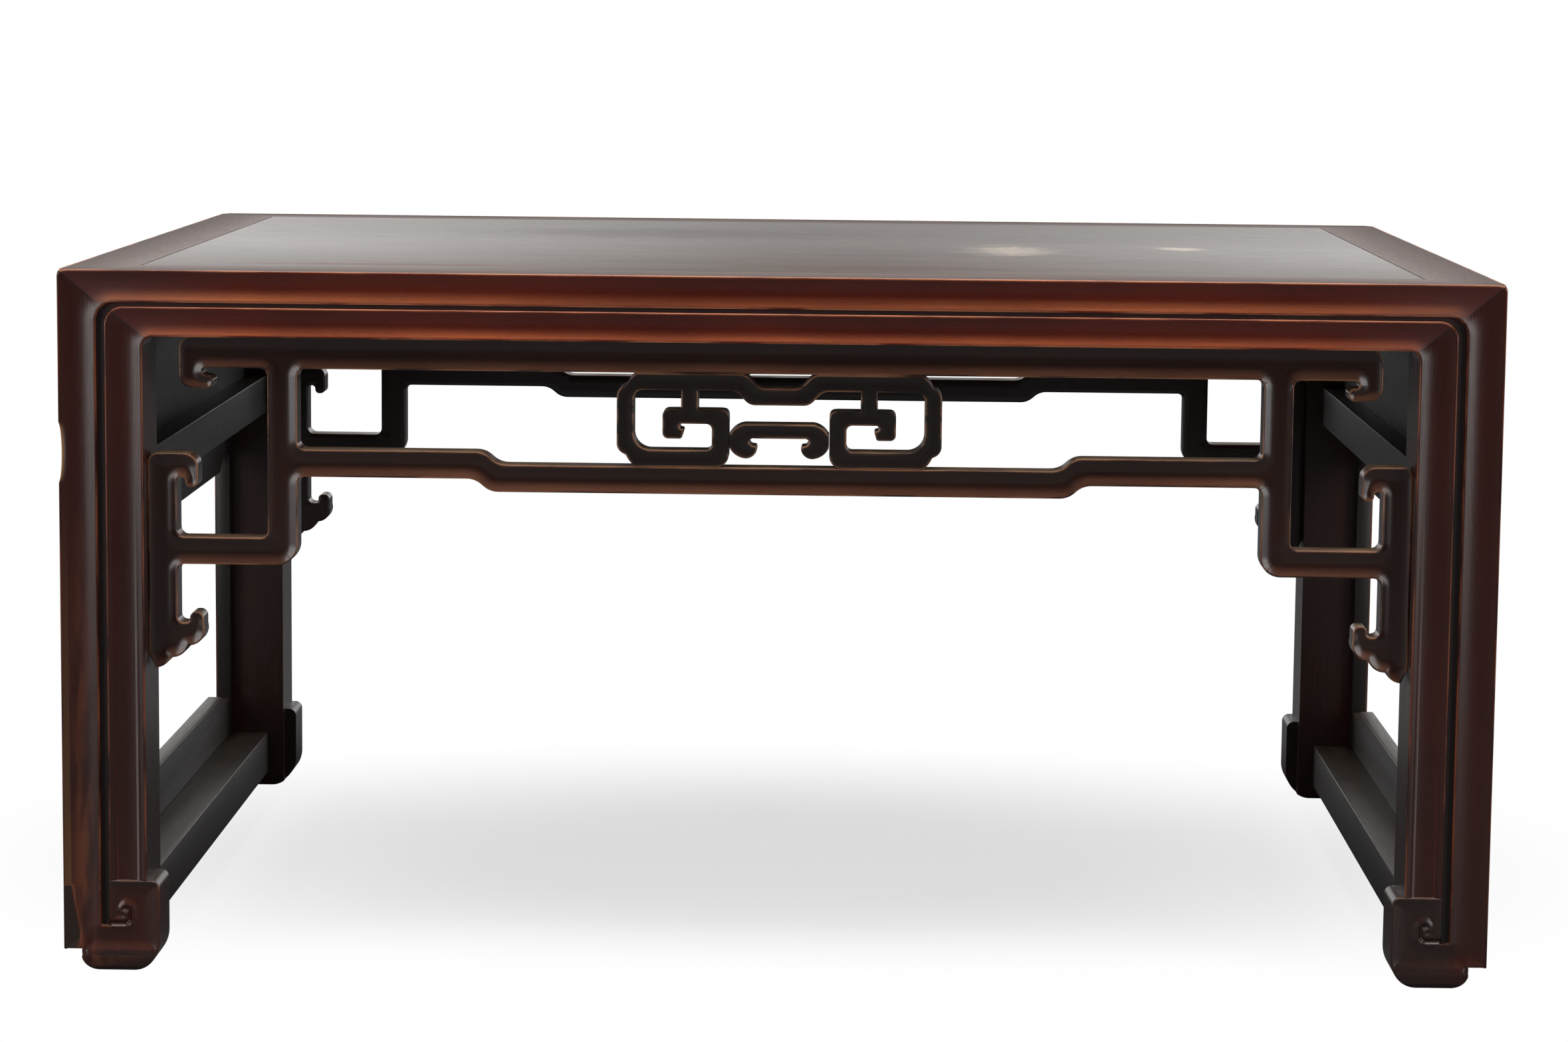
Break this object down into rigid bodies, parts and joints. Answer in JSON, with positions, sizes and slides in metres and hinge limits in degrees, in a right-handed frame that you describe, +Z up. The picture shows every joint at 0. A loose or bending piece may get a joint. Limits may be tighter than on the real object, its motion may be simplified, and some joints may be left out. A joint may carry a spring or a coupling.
{
  "type": "kang table",
  "caption": "Low rectangular hardwood table with a flush framed panel top, moulded square legs, openwork fretwork aprons and open framed sides joined by floor stretchers.",
  "frame": {"origin": "on the floor under the middle of the top", "axes": "+X along the length of the table, +Y from the front long side to the back one, +Z up"},
  "size_m": [0.84, 0.64, 0.417],
  "materials": {
    "top_wood": "polished dark red-brown hardwood with a soft sheen",
    "frame_wood": "polished dark red-brown hardwood, worn lighter along the raised edges",
    "fretwork_wood": "polished dark red-brown hardwood, dusty on its upper faces"
  },
  "bodies": {
    "root": {"apron_back": "frame_wood", "apron_front": "frame_wood", "apron_left": "frame_wood", "apron_right": "frame_wood", "back_fret_keys": "fretwork_wood", "back_fret_lower_bar": "fretwork_wood", "back_fret_post_left": "fretwork_wood", "back_fret_post_right": "fretwork_wood", "back_fret_side_bar_left": "fretwork_wood", "back_fret_side_bar_right": "fretwork_wood", "back_fret_side_piece_left": "fretwork_wood", "back_fret_side_piece_right": "fretwork_wood", "back_fret_top_bar": "fretwork_wood", "back_ornament_bridge": "fretwork_wood", "back_ornament_scroll_left": "fretwork_wood", "back_ornament_scroll_right": "fretwork_wood", "back_ornament_top": "fretwork_wood", "batten_left": "frame_wood", "batten_right": "frame_wood", "floor_stretcher_left": "frame_wood", "floor_stretcher_right": "frame_wood", "front_fret_keys": "fretwork_wood", "front_fret_lower_bar": "fretwork_wood", "front_fret_post_left": "fretwork_wood", "front_fret_post_right": "fretwork_wood", "front_fret_side_bar_left": "fretwork_wood", "front_fret_side_bar_right": "fretwork_wood", "front_fret_side_piece_left": "fretwork_wood", "front_fret_side_piece_right": "fretwork_wood", "front_fret_top_bar": "fretwork_wood", "front_ornament_bridge": "fretwork_wood", "front_ornament_scroll_left": "fretwork_wood", "front_ornament_scroll_right": "fretwork_wood", "front_ornament_top": "fretwork_wood", "leg_back_left": "frame_wood", "leg_back_right": "frame_wood", "leg_front_left": "frame_wood", "leg_front_right": "frame_wood", "lining_back_left": "frame_wood", "lining_back_right": "frame_wood", "lining_bottom_left": "frame_wood", "lining_bottom_right": "frame_wood", "lining_front_left": "frame_wood", "lining_front_right": "frame_wood", "lining_top_left": "frame_wood", "lining_top_right": "frame_wood", "side_panel_left": "frame_wood", "side_panel_right": "frame_wood", "side_rail_left": "frame_wood", "side_rail_right": "frame_wood", "top_panel": "top_wood", "top_rail_back": "top_wood", "top_rail_front": "top_wood", "top_rail_left": "top_wood", "top_rail_right": "top_wood"}
  },
  "joints": []
}
